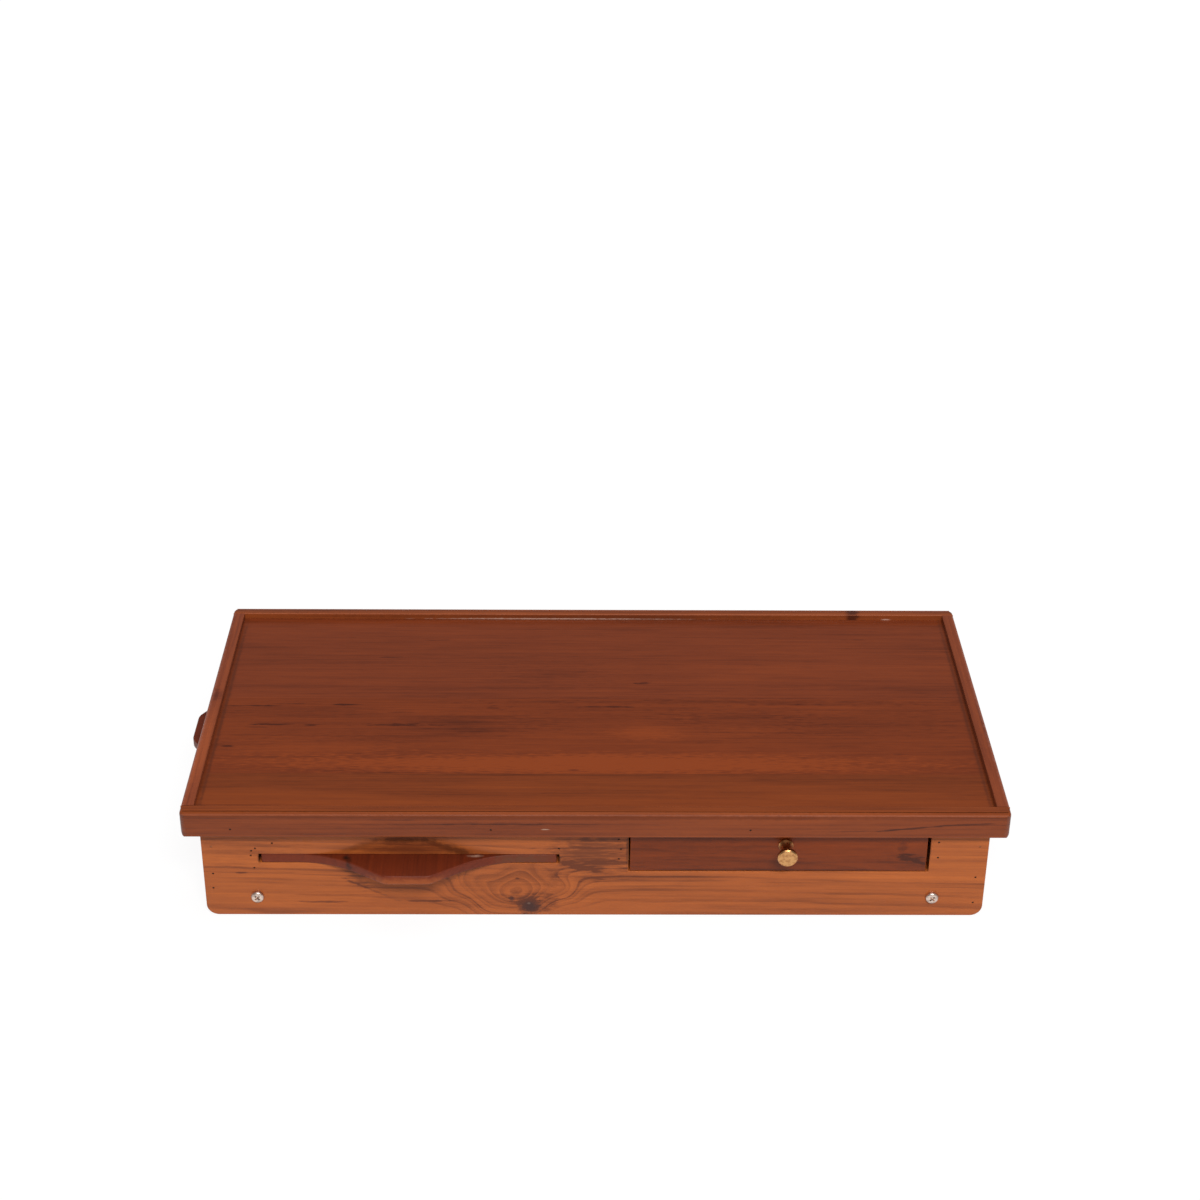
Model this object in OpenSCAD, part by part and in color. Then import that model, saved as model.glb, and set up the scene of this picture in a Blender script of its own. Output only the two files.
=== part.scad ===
// Low table for a laptop, shown folded and closed: a lipped top on a shallow case that holds a drawer and two
// pull-out trays with shaped pull tabs, over two leg frames that swing down on screw pivots.
// Lengths are in millimetres. X runs to the right seen from the front, Y to the back and Z up.

/* [Top] */
// Length of the top over its edging
top_length = 610; // [592:1:760]
// Depth of the top over its edging
top_depth = 305; // [296:1:400]
// Thickness of the glued boards of the top
board_t = 15.5; // [12:0.5:20]
// Height of the edging's lip above the boards
lip_rise = 5; // [3:0.5:12]
// Width of the front edging strip
front_edging_w = 12; // [9:0.5:18]
// Width of the back edging strip
back_edging_w = 9; // [7:0.5:14]
// Width of the side edging strips
side_edging_w = 9.5; // [7:0.5:14]
// Depth of the front board of the top
front_board_d = 49.5; // [35:0.5:80]
// Depth of the middle board of the top
middle_board_d = 107; // [70:0.5:140]
// Rounding of the edging's corners seen from above
corner_r = 5.5; // [3:0.5:8]
// Rounding of the front strip's lower end corners
strip_end_r = 4; // [2:0.5:6]
// Rounding of the edging's outer arrises
outer_arris_r = 1.8; // [0.6:0.2:2.4]
// Rounding of the edging's inner arrises
inner_arris_r = 0.8; // [0.4:0.2:1.4]
// Overhang of the top over the case, all round
overhang = 12; // [9:0.5:16]

/* [Case] */
// Height of the aprons
apron_h = 79.5; // [70:0.5:100]
// Thickness of the aprons
apron_t = 15; // [13:0.5:17]
// Rounding of the lower corners of the front and back aprons
apron_corner_r = 9; // [3:0.5:12]
// Width of the front apron between the tray's slot and the drawer's opening
post_w = 51.5; // [34:0.5:80]
// Height of the glue blocks that stop the legs
corner_block_h = 33; // [24:0.5:34]
// Length of the glue blocks along the side aprons
corner_block_l = 20; // [14:0.5:26]
// Thickness of the glue blocks
corner_block_w = 9.7; // [7:0.1:13]

/* [Pull-out trays] */
// Thickness of a tray
tray_t = 7.5; // [6:0.5:8]
// Clearance above and below a tray in its slot and grooves
tray_play = 0.3; // [0.2:0.1:0.5]
// Gap beside a tray at each end of its slot
slot_side_gap = 2; // [1:0.5:4]
// Gap beside a tray in each guide
guide_side_play = 0.6; // [0.3:0.1:1]
// Gap between a closed tray and what stops it
tray_end_gap = 0.5; // [0.3:0.1:2]
// Distance from the case's left end to the front slot
front_slot_inset = 42; // [36:0.5:46]
// Height of the front apron above the front slot
front_slot_drop = 23.4; // [22.5:0.1:24]
// Height of the left apron above the side slot
side_slot_drop = 4.7; // [4:0.1:5]
// Depth of the closed side tray's edge behind the face of the case
side_tray_recess = 2.5; // [0:0.5:4]
// Way that each tray slides out
tray_travel = 160; // [100:1:180]
// Thickness of the upright of the front tray's guides
guide_web_t = 12; // [9:0.5:14]
// Thickness of the upright of the side tray's guides
side_guide_web_t = 14.9; // [11:0.1:24]
// Width of the guides' lips over and under a tray
guide_lip_w = 9; // [6:0.5:12]
// Thickness of the lips of the front tray's guides
guide_lip_t = 7.4; // [5:0.1:8]
// Length of the stop strip fixed to each tray
stop_l = 60; // [40:1:90]
// Width of the stop strip
stop_w = 12; // [8:0.5:18]
// Thickness of the front tray's stop strip
stop_t = 6; // [4:0.5:7]
// Clearance between the side tray's stop strip and the top
stop_top_gap = 1; // [0.5:0.1:1.5]

/* [Pull tab] */
// Reach of the tab in front of a tray's edge
tab_reach = 27.5; // [20:0.5:36]
// Length of the tab's flat outer edge
tab_flat_w = 26.5; // [20:0.5:50]
// Slope of the tab's flanks, in degrees
tab_slope = 33.5; // [28:0.5:40]
// Radius of the rounded shoulders
tab_shoulder_r = 12; // [8:0.5:18]
// Radius of the hollows that lead into the tray's edge
tab_hollow_r = 85; // [60:1:95]
// Distance of the side tray's tab behind the middle of that tray
side_tab_offset = 5.5; // [0:0.5:8]

/* [Drawer] */
// Width of the drawer's opening
opening_w = 225; // [190:1:226]
// Distance from the case's right end to the drawer's opening
opening_inset = 43.5; // [42:0.5:46]
// Height of the drawer's opening
opening_h = 39; // [36:0.5:40]
// Gap at the left of the drawer's front
gap_left = 1.1; // [0.5:0.1:2.5]
// Gap at the right of the drawer's front
gap_right = 2.2; // [0.5:0.1:2.5]
// Gap below the drawer's front
gap_below = 0.8; // [0.5:0.1:1.5]
// Gap above the drawer's front
gap_above = 1; // [0.5:0.1:2]
// Clearance between the drawer's sides and their runners
runner_gap = 0.3; // [0.2:0.1:0.5]
// Thickness of the drawer's front
drawer_front_t = 15; // [12:0.5:18]
// Thickness of the front left over in front of its rebates
rebate_face_t = 7; // [5:0.5:9]
// Thickness of the drawer's sides and back
drawer_side_t = 10; // [8:0.5:12]
// Height of the drawer's sides
drawer_side_h = 32; // [26:0.5:36]
// Thickness of the drawer's bottom
drawer_bottom_t = 4; // [3:0.5:6]
// Height of the bottom's groove above the sides' lower edges
bottom_rise = 5; // [4:0.5:8]
// Depth of the bottom's groove
groove_d = 4; // [2:0.5:5]
// Gap between the bottom's edges and the ends of its grooves
panel_gap = 0.2; // [0.1:0.1:0.5]
// Gap behind the closed drawer
back_gap = 1; // [0.5:0.5:5]
// Way that the drawer slides out
drawer_travel = 185; // [120:1:200]
// Thickness of the divider and of the drawer's right guide
drawer_guide_t = 12; // [9:0.5:14]
// Width of the runners under the drawer
runner_w = 10; // [7:0.5:14]
// Thickness of the runners
runner_t = 6; // [4:0.5:6.5]

/* [Knob] */
// Diameter of the knob's head
knob_head_d = 14.8; // [12:0.2:18]
// Thickness of the knob's head
knob_head_t = 3.6; // [2.4:0.2:5]
// Width of the bevel round the head
knob_bevel = 0.8; // [0.4:0.1:1.2]
// Diameter of the knob's foot
knob_foot_d = 11; // [9:0.5:12]
// Diameter of the knob's neck at its narrowest
knob_neck_d = 6.6; // [6.2:0.2:8]
// Thickness of the foot and of the neck's upper ring
knob_ring_t = 1.2; // [0.8:0.1:2]
// Reach of the knob from the drawer's front
knob_reach = 17.5; // [15:0.5:22]
// Distance of the knob to the right of the drawer's middle
knob_offset = 5; // [-10:0.5:10]
// Height of the aprons' upper edges above the knob's axis
knob_drop = 14.5; // [12:0.5:20]
// Diameter of the knob's screw
knob_screw_d = 4; // [3:0.5:4]
// Depth of the knob's screw in the knob
knob_screw_bite = 8; // [6:0.5:10]
// Diameter of the head of the knob's screw
knob_screw_head_d = 8; // [7:0.5:9]
// Height of the head of the knob's screw
knob_screw_head_h = 2.6; // [2:0.1:3]

/* [Folding legs] */
// Gap between a folded leg and what the case stands on
leg_floor_gap = 3.5; // [2:0.5:8]
// Gap between a folded leg and what lies over it
leg_top_gap = 3; // [1:0.5:8]
// Thickness of a leg, along its pivot
leg_t = 18; // [14:0.5:22]
// Gap between the feet of the two folded leg frames
feet_gap = 32; // [6:1:90]
// Rounding of the foot's corners
foot_r = 4; // [2:0.5:8]
// Distance from the pivot to the near edge of the stretcher
stretcher_at = 150; // [90:1:160]
// Width of the stretcher
stretcher_w = 40; // [34:1:60]
// Thickness of the stretcher
stretcher_t = 12; // [10:0.5:16]
// Gap between an upright leg and its glue block
leg_stop_gap = 0.3; // [0.2:0.1:0.6]
// Running gap between a leg and the washer at each side
leg_side_play = 0.2; // [0.1:0.1:0.4]

/* [Fasteners] */
// Diameter of the pivot screws
pivot_d = 5; // [4:0.5:6]
// Diameter of the pivot screws' heads
pivot_head_d = 9.6; // [9:0.2:12]
// Height of the pivot screws' heads
pivot_head_h = 3; // [2.4:0.1:4]
// Running clearance round the pivot screws, on the radius
pivot_gap = 0.06; // [0.02:0.01:0.1]
// Diameter of the washers
washer_d = 11; // [10:0.5:14]
// Thickness of the washers
washer_t = 1; // [0.8:0.1:1.5]
// Width of the pivot nuts across their flats
nut_flats = 8; // [7.5:0.5:10]
// Thickness of the pivot nuts
nut_t = 4; // [3:0.5:5]
// Length of screw left past a nut
screw_past_nut = 0.6; // [0.2:0.1:2]
// Diameter of the stretcher screws
leg_screw_d = 4; // [3:0.5:4.5]
// Diameter of the stretcher screws' heads
leg_screw_head_d = 7.6; // [7:0.2:9]
// Length of the stretcher screws
leg_screw_l = 45; // [35:1:60]
// Distance between the two stretcher screws of one joint
leg_screw_pitch = 20; // [16:1:24]
// Diameter of the brads
brad_d = 1.6; // [1.2:0.1:2]
// Length of the brads
brad_l = 25; // [22:0.5:26]
// Depth of the brads' heads below the surface
brad_set = 0.5; // [0.2:0.1:0.8]
// Clearance of a brad or screw in its hole, on the radius
pilot_gap = 0.03; // [0.02:0.01:0.06]
// Height of the edging's brads above the boards' underside
edging_brad_rise = 7.2; // [5:0.1:9]
// Distance from the strip's left end to the first brad of the front and back edging
edging_brad_inset = 37; // [25:1:45]
// Distance between the brads of the front and back edging
edging_brad_pitch = 190.7; // [150:0.1:200]
// Distance from the boards' edges to the brads of the side edging
side_brad_inset = 25; // [15:1:30]
// Distance of the drawer's upper brads below its sides' upper edges
drawer_brad_inset = 9; // [5:0.5:12]
// Distance from the front slot's left end to the brad that holds a guide of the side tray
side_guide_brad_at = 10.7; // [6:0.1:20]

/* [Hidden] */
$fn = 48;
// Facets round the larger circles
fine = 96;
// Length by which a cut runs past the face that it leaves
past = 1;

// Case
case_x = top_length / 2 - overhang;
case_y = top_depth / 2 - overhang;
inner_x = case_x - apron_t;
inner_y = case_y - apron_t;

// Top
boards_x = top_length / 2 - side_edging_w;
boards_front = front_edging_w - top_depth / 2;
boards_back = top_depth / 2 - back_edging_w;
front_joint_y = boards_front + front_board_d;
back_joint_y = front_joint_y + middle_board_d;
edging_h = board_t + lip_rise;

// Trays and their guides
groove_h = tray_t + 2 * tray_play;
front_slot_w = 2 * case_x - front_slot_inset - post_w - opening_w - opening_inset;
front_tray_w = front_slot_w - 2 * slot_side_gap;
front_groove_wall = front_tray_w / 2 + guide_side_play;
front_tray_x = front_slot_inset - case_x + front_slot_w / 2;
front_groove_z = apron_h - front_slot_drop - groove_h;
front_tray_z = front_groove_z + tray_play;
side_groove_wall = inner_y - side_guide_web_t;
side_tray_w = 2 * (side_groove_wall - guide_side_play);
side_slot_w = side_tray_w + 2 * slot_side_gap;
side_groove_z = apron_h - side_slot_drop - groove_h;
side_tray_z = side_groove_z + tray_play;
front_guide_z = front_groove_z - guide_lip_t;
guide_split_z = front_groove_z + groove_h + guide_lip_t;

// Drawer, its opening, guides and runners
opening_x1 = case_x - opening_inset;
opening_x0 = opening_x1 - opening_w;
opening_z = apron_h - opening_h;
divider_x = opening_x0 - drawer_guide_t;
runner_z = opening_z - runner_t;
drawer_x0 = opening_x0 + gap_left;
drawer_x1 = opening_x1 - gap_right;
drawer_y1 = inner_y - back_gap;
drawer_front_y1 = drawer_front_t - case_y;
drawer_z = opening_z + runner_gap;
drawer_bottom_z = drawer_z + bottom_rise;
drawer_bottom_top = drawer_bottom_z + drawer_bottom_t;
knob_x = (drawer_x0 + drawer_x1) / 2 + knob_offset;
knob_z = apron_h - knob_drop;

// Lengths of the two trays, each cut to reach what stops it
front_tray_l = case_y + inner_y - tray_end_gap;
side_tray_l = case_x - side_tray_recess + divider_x - tray_end_gap;

// Legs and what their pivots pass through, counted from the inner face of an apron
leg_w = runner_z - leg_top_gap - leg_floor_gap;
pivot_x = inner_x - corner_block_w - leg_stop_gap - leg_w / 2;
pivot_z = leg_floor_gap + leg_w / 2;
leg_reach = pivot_x - feet_gap / 2;
leg_face = washer_t + leg_side_play;
inner_washer = leg_face + leg_t + leg_side_play;
pivot_nut = inner_washer + washer_t;
pivot_l = apron_t + pivot_nut + nut_t + screw_past_nut;
leg_gap_y = inner_y - leg_face - leg_t;
corner_block_z = 1;

// Brads and what is cut for them and into the screws' heads, as shares of a head's width or height
brad_hole_d = brad_d + 2 * pilot_gap;
brad_hole_l = brad_set + brad_l;
edging_brad_z = apron_h + edging_brad_rise;
leg_screw_head_h = (leg_screw_head_d - leg_screw_d) / 2;
rim_share = 0.55;
cross_w_share = 0.13;
cross_l_share = 0.52;
cross_depth_share = 0.6;

// Brads through the front and back aprons: the middle line and the height of what each group holds, then for
// each hand-driven brad its own offsets from them
end_brads_left = [[0, -16.9], [-0.5, -41.5], [-1.2, -54.7]];
end_brads_right = [[0.8, -15.8], [-0.1, -43.9], [0, -67.4]];
tray_guide_brads_left = [[2.4, 9.1], [-0.5, 6.9], [-1.1, 2.7], [0.8, -8.6]];
tray_guide_brads_right = [[-5, 9.2]];
side_guide_brads = [[0, 2.4]];
divider_brads = [[-1.4, -9.6], [0.3, -18.5], [-1.2, -27.5]];
drawer_guide_brads = [[-0.1, -11.9], [0.2, -25.8]];
front_guide_mid_z = (front_guide_z + guide_split_z) / 2;
side_guide_brad_x = front_slot_inset - case_x + side_guide_brad_at;
brad_lines = [
    [apron_t / 2 - case_x, apron_h, end_brads_left],
    [case_x - apron_t / 2, apron_h, end_brads_right],
    [front_tray_x - front_groove_wall - guide_web_t / 2, front_guide_mid_z, tray_guide_brads_left],
    [front_tray_x + front_groove_wall + guide_web_t / 2, front_guide_mid_z, tray_guide_brads_right],
    [side_guide_brad_x, guide_split_z, side_guide_brads],
    [divider_x + drawer_guide_t / 2, apron_h, divider_brads],
    [opening_x1 + drawer_guide_t / 2, apron_h, drawer_guide_brads]];
drawer_brad_z = [bottom_rise + drawer_bottom_t + 2 * brad_d, drawer_side_h - drawer_brad_inset];

// Colours
orange_wood = [0.70, 0.42, 0.24];
red_wood = [0.48, 0.24, 0.15];
dark_wood = [0.42, 0.18, 0.10];
pale_wood = [0.72, 0.52, 0.34];
brass = [0.80, 0.62, 0.34];
steel = [0.78, 0.77, 0.74];
iron = [0.30, 0.26, 0.24];

// Puts the origin under the middle of the whole footprint, pull tabs included, and not only of the case
module in_frame() {
    translate([(tab_reach - side_tray_recess - overhang) / 2, (tab_reach - overhang) / 2, 0]) children();
}

// A block given by its two limits along each axis
module block(x, y, z) {
    translate([x[0], y[0], z[0]]) cube([x[1] - x[0], y[1] - y[0], z[1] - z[0]]);
}

// A round bar along Y, from y[0] to y[1]
module bar_y(x, y, z, d) {
    translate([x, y[1], z]) rotate([90, 0, 0]) cylinder(h = y[1] - y[0], d = d);
}

// A round bar along X, from x[0] to x[1]
module bar_x(x, y, z, d) {
    translate([x[0], y, z]) rotate([0, 90, 0]) cylinder(h = x[1] - x[0], d = d);
}

// What rounding takes away from the corner of a flat shape that fills the upper right of the origin
module corner_waste(r) {
    difference() {
        translate([-past, -past]) square(r + past);
        translate([r, r]) circle(r);
    }
}

// A rectangle from the origin, each corner rounded by its own radius, counted round from the lower left
module eased_rectangle(size, radii) {
    turns = [0, 90, 180, 270];
    corners = [[0, 0], [size[0], 0], size, [0, size[1]]];
    difference() {
        square(size);
        for (i = [0:3]) {
            if (radii[i] > 0) translate(corners[i]) rotate(turns[i]) corner_waste(radii[i]);
        }
    }
}

// Four copies, at both ends of the front and, turned half round, of the back
module at_four_pivots() {
    for (side = [-1, 1], end = [-1, 1]) {
        translate([end * pivot_x, 0, pivot_z]) rotate(side > 0 ? 180 : 0) translate([0, -inner_y, 0])
            children();
    }
}

// ---- Top

module top_board(y) {
    color(red_wood) in_frame() difference() {
        block([-boards_x, boards_x], y, [apron_h, apron_h + board_t]);
        edging_brads_at() bar_y(0, [-past, brad_hole_l], 0, brad_hole_d);
    }
}

// Children are drawn for each edging brad, with +Y pointing the way that it is driven, from the outer face
module edging_brads_at() {
    span = top_length - edging_brad_inset;
    for (x = [edging_brad_inset:edging_brad_pitch:span], side = [0, 1]) {
        rotate(side * 180) translate([x - top_length / 2, -top_depth / 2, edging_brad_z]) children();
    }
    for (y = [boards_front + side_brad_inset, boards_back - side_brad_inset], side = [-1, 1]) {
        translate([side * top_length / 2, y, edging_brad_z]) rotate(side * 90) children();
    }
}

// The edging's corners seen from above
module edging_outline() {
    translate([-top_length / 2, -top_depth / 2])
        eased_rectangle([top_length, top_depth], [corner_r, corner_r, corner_r, corner_r]);
}

// A strip along X with its outer side towards -Y, before its ends are rounded
module long_strip(w) {
    translate([-top_length / 2, -top_depth / 2, apron_h]) rotate([90, 0, 90]) linear_extrude(top_length)
        eased_rectangle([w, edging_h], [outer_arris_r, 0, inner_arris_r, outer_arris_r]);
}

module front_edging() {
    color(red_wood) in_frame() difference() {
        intersection() {
            long_strip(front_edging_w);
            translate([0, 0, apron_h]) linear_extrude(edging_h) edging_outline();
            translate([-top_length / 2, top_depth / 2, apron_h]) rotate([90, 0, 0]) linear_extrude(top_depth)
                eased_rectangle([top_length, edging_h], [strip_end_r, strip_end_r, 0, 0]);
        }
        edging_brads_at() bar_y(0, [-past, brad_hole_l], 0, brad_hole_d);
    }
}

module back_edging() {
    color(red_wood) in_frame() difference() {
        intersection() {
            rotate(180) long_strip(back_edging_w);
            translate([0, 0, apron_h]) linear_extrude(edging_h) edging_outline();
        }
        edging_brads_at() bar_y(0, [-past, brad_hole_l], 0, brad_hole_d);
    }
}

// A side strip, with side -1 for the left one and 1 for the right one
module side_edging(side) {
    radii = [outer_arris_r, 0, inner_arris_r, outer_arris_r];
    color(red_wood) in_frame() difference() {
        mirror([side > 0 ? 1 : 0, 0, 0]) translate([-top_length / 2, boards_back, apron_h]) rotate([90, 0, 0])
            linear_extrude(boards_back - boards_front) eased_rectangle([side_edging_w, edging_h], radii);
        edging_brads_at() bar_y(0, [-past, brad_hole_l], 0, brad_hole_d);
    }
}

module edging_brads() {
    color(iron) in_frame() edging_brads_at() bar_y(0, [brad_set, brad_set + brad_l], 0, brad_d);
}

// ---- Case

// Children are drawn for each brad of the front and back aprons, with +Y pointing the way that it is driven
module case_brads_at() {
    for (side = [0, 1], line = brad_lines, spot = line[2]) {
        mirror([0, side, 0]) translate([line[0] + spot[0], -case_y, line[1] + spot[1]]) children();
    }
}

module case_brad_holes() {
    case_brads_at() bar_y(0, [-past, brad_hole_l], 0, brad_hole_d);
}

// The front or back apron before its openings are cut, with its outer face towards -Y
module long_apron() {
    difference() {
        translate([-case_x, -inner_y, 0]) rotate([90, 0, 0]) linear_extrude(apron_t)
            eased_rectangle([2 * case_x, apron_h], [apron_corner_r, apron_corner_r, 0, 0]);
        for (end = [-1, 1]) {
            bar_y(end * pivot_x, [-case_y - past, past - inner_y], pivot_z, pivot_d + 2 * pivot_gap);
        }
        case_brad_holes();
    }
}

module front_apron() {
    color(orange_wood) in_frame() difference() {
        long_apron();
        translate([front_tray_x, 0, 0])
            block([-front_slot_w / 2, front_slot_w / 2], [-case_y - past, past - inner_y],
                [front_groove_z, front_groove_z + groove_h]);
        block([opening_x0, opening_x1], [-case_y - past, past - inner_y], [opening_z, apron_h + past]);
    }
}

module back_apron() {
    color(orange_wood) in_frame() mirror([0, 1, 0]) long_apron();
}

module left_apron() {
    color(orange_wood) in_frame() difference() {
        block([-case_x, -inner_x], [-inner_y, inner_y], [0, apron_h]);
        block([-case_x - past, past - inner_x], [-side_slot_w / 2, side_slot_w / 2],
            [side_groove_z, side_groove_z + groove_h]);
        case_brad_holes();
    }
}

module right_apron() {
    color(orange_wood) in_frame() difference() {
        block([inner_x, case_x], [-inner_y, inner_y], [0, apron_h]);
        case_brad_holes();
    }
}

module corner_blocks() {
    color(pale_wood) in_frame() for (side = [-1, 1], end = [-1, 1]) {
        mirror([end > 0 ? 1 : 0, 0, 0]) mirror([0, side > 0 ? 1 : 0, 0])
            block([-inner_x, corner_block_w - inner_x], [-inner_y, corner_block_l - inner_y],
                [corner_block_z, corner_block_z + corner_block_h]);
    }
}

// Section of a grooved guide: the groove's wall is at x = 0, with the tray towards +X
module guide_section(web, low, high, groove_z) {
    difference() {
        translate([-web, low]) square([web + guide_lip_w, high - low]);
        translate([0, groove_z]) square([guide_lip_w + past, groove_h]);
    }
}

// A guide of the front tray, with side -1 for the left one and 1 for the right one
module front_tray_guide(side) {
    color(pale_wood) in_frame() difference() {
        translate([front_tray_x, 0, 0]) mirror([side > 0 ? 1 : 0, 0, 0])
            translate([-front_groove_wall, inner_y, 0]) rotate([90, 0, 0]) linear_extrude(2 * inner_y)
                guide_section(guide_web_t, front_guide_z, guide_split_z, front_groove_z);
        case_brad_holes();
    }
}

// A guide of the side tray, with side -1 for the front one and 1 for the back one
module side_tray_guide(side) {
    color(pale_wood) in_frame() difference() {
        mirror([0, side > 0 ? 1 : 0, 0]) translate([-inner_x, -side_groove_wall, 0]) rotate([90, 0, 90])
            linear_extrude(inner_x + divider_x)
                guide_section(side_guide_web_t, guide_split_z, apron_h, side_groove_z);
        case_brad_holes();
    }
}

// An upright board from the front apron to the back one, with its left face at x
module upright(x) {
    color(pale_wood) in_frame() difference() {
        block([x, x + drawer_guide_t], [-inner_y, inner_y], [runner_z, apron_h]);
        case_brad_holes();
    }
}

module drawer_runners() {
    color(pale_wood) in_frame() {
        block([opening_x0, opening_x0 + runner_w], [-inner_y, inner_y], [runner_z, opening_z]);
        block([opening_x1 - runner_w, opening_x1], [-inner_y, inner_y], [runner_z, opening_z]);
    }
}

module case_brads() {
    color(iron) in_frame() case_brads_at() bar_y(0, [brad_set, brad_set + brad_l], 0, brad_d);
}

// ---- Pull-out trays

// Half of the pull tab, towards +Y: a straight flank between a hollow at its foot and a rounded shoulder
module tab_half() {
    shoulder = [tab_flat_w / 2 + tab_shoulder_r * sin(tab_slope),
        tab_reach - tab_shoulder_r * (1 - cos(tab_slope))];
    drop = shoulder[1] - tab_hollow_r * (1 - cos(tab_slope));
    hollow = shoulder + [drop / tan(tab_slope), -drop];
    foot_x = hollow[0] + tab_hollow_r * sin(tab_slope);
    difference() {
        linear_extrude(tray_t)
            polygon([[0, -past], [0, tab_reach], [tab_flat_w / 2, tab_reach], shoulder, hollow,
                [foot_x, hollow[1]], [foot_x, -past]]);
        translate([foot_x, tab_hollow_r, -past])
            cylinder(h = tray_t + 2 * past, r = tab_hollow_r, $fn = fine);
    }
    translate([tab_flat_w / 2, tab_reach - tab_shoulder_r, 0]) cylinder(h = tray_t, r = tab_shoulder_r);
}

// A tray with its front edge on the X axis, the board towards +Y and the tab towards -Y, with its middle at tab_x
module tray(width, length, tab_x) {
    block([-width / 2, width / 2], [0, length], [0, tray_t]);
    for (turn = [0, 1]) {
        translate([tab_x, 0, 0]) mirror([0, 1, 0]) mirror([turn, 0, 0]) tab_half();
    }
}

module front_tray_board() {
    color(dark_wood) in_frame() translate([front_tray_x, -case_y, front_tray_z])
        tray(front_tray_w, front_tray_l, 0);
}

module side_tray_board() {
    color(dark_wood) in_frame() translate([side_tray_recess - case_x, 0, side_tray_z]) rotate(-90)
        tray(side_tray_w, side_tray_l, -side_tab_offset);
}

module front_tray_stop() {
    near = tray_travel + tray_end_gap - inner_y;
    color(dark_wood) in_frame() translate([front_tray_x, 0, front_tray_z])
        block([-stop_l / 2, stop_l / 2], [near, near + stop_w], [-stop_t, 0]);
}

module side_tray_stop() {
    near = tray_travel + tray_end_gap - inner_x;
    color(dark_wood) in_frame()
        block([near, near + stop_w], [-stop_l / 2, stop_l / 2],
            [side_tray_z + tray_t, apron_h - stop_top_gap]);
}

// ---- Drawer

// Children are drawn for each drawer brad, with +X pointing the way that it is driven, from the outer face
module drawer_brads_at() {
    into_front = drawer_front_y1 - (drawer_front_t - rebate_face_t) / 2;
    into_back = drawer_y1 - drawer_side_t / 2;
    for (y = [into_front, into_back], z = drawer_brad_z) {
        translate([drawer_x0, y, drawer_z + z]) children();
        translate([drawer_x1, y, drawer_z + z]) mirror([1, 0, 0]) children();
    }
}

module drawer_brad_holes() {
    drawer_brads_at() bar_x([-past, brad_hole_l], 0, 0, brad_hole_d);
}

// The groove for the drawer's bottom, cut into the front and both sides
module bottom_groove() {
    reach = drawer_side_t - groove_d;
    block([drawer_x0 + reach, drawer_x1 - reach], [drawer_front_y1 - groove_d, drawer_y1 + past],
        [drawer_bottom_z, drawer_bottom_top]);
}

module drawer_front() {
    rebate_y = rebate_face_t - case_y;
    color(red_wood) in_frame() difference() {
        block([drawer_x0, drawer_x1], [-case_y, drawer_front_y1],
            [opening_z + gap_below, apron_h - gap_above]);
        for (x = [drawer_x0 - past, drawer_x1 - drawer_side_t]) {
            block([x, x + drawer_side_t + past], [rebate_y, drawer_front_y1 + past],
                [drawer_z, drawer_z + drawer_side_h]);
        }
        bottom_groove();
        bar_y(knob_x, [-case_y - past, drawer_front_y1 + past], knob_z, knob_screw_d + 2 * pilot_gap);
        drawer_brad_holes();
    }
}

// A drawer side with its left face at x
module drawer_side(x) {
    color(red_wood) in_frame() difference() {
        block([x, x + drawer_side_t], [rebate_face_t - case_y, drawer_y1],
            [drawer_z, drawer_z + drawer_side_h]);
        bottom_groove();
        drawer_brad_holes();
    }
}

module drawer_back() {
    color(red_wood) in_frame() difference() {
        block([drawer_x0 + drawer_side_t, drawer_x1 - drawer_side_t], [drawer_y1 - drawer_side_t, drawer_y1],
            [drawer_bottom_top, drawer_z + drawer_side_h]);
        drawer_brad_holes();
    }
}

module drawer_bottom() {
    reach = drawer_side_t - groove_d + panel_gap;
    color(pale_wood) in_frame()
        block([drawer_x0 + reach, drawer_x1 - reach], [drawer_front_y1 - groove_d + panel_gap, drawer_y1],
            [drawer_bottom_z, drawer_bottom_top]);
}

module drawer_brads() {
    color(iron) in_frame() drawer_brads_at() bar_x([brad_set, brad_set + brad_l], 0, 0, brad_d);
}

// Half section of the turned knob: x is the radius, y the distance from the drawer's front
module knob_section() {
    head_y = knob_reach - knob_head_t;
    neck_l = head_y - 2 * knob_ring_t;
    hollow = (knob_foot_d - knob_neck_d) / 2;
    hollow_r = (neck_l * neck_l / 4 + hollow * hollow) / (2 * hollow);
    difference() {
        square([knob_foot_d / 2, head_y]);
        translate([knob_neck_d / 2 + hollow_r, head_y / 2]) circle(hollow_r, $fn = fine);
    }
    head_r = knob_head_d / 2;
    polygon([[0, head_y], [head_r - knob_bevel / 2, head_y], [head_r, head_y + knob_bevel / 2],
        [head_r, knob_reach - knob_bevel], [head_r - knob_bevel, knob_reach], [0, knob_reach]]);
}

module drawer_knob() {
    color(brass) in_frame() translate([knob_x, -case_y, knob_z]) rotate([90, 0, 0]) difference() {
        rotate_extrude() knob_section();
        translate([0, 0, -past]) cylinder(h = knob_screw_bite + 2 * past, d = knob_screw_d + 2 * pilot_gap);
    }
}

// The recess in a screw head of diameter d, cut down from z = 0
module cross_recess(d, depth) {
    arm = [d * cross_l_share, d * cross_w_share, depth + past];
    for (turn = [0, 90]) {
        rotate(turn) translate([-arm[0] / 2, -arm[1] / 2, -depth]) cube(arm);
    }
}

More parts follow.
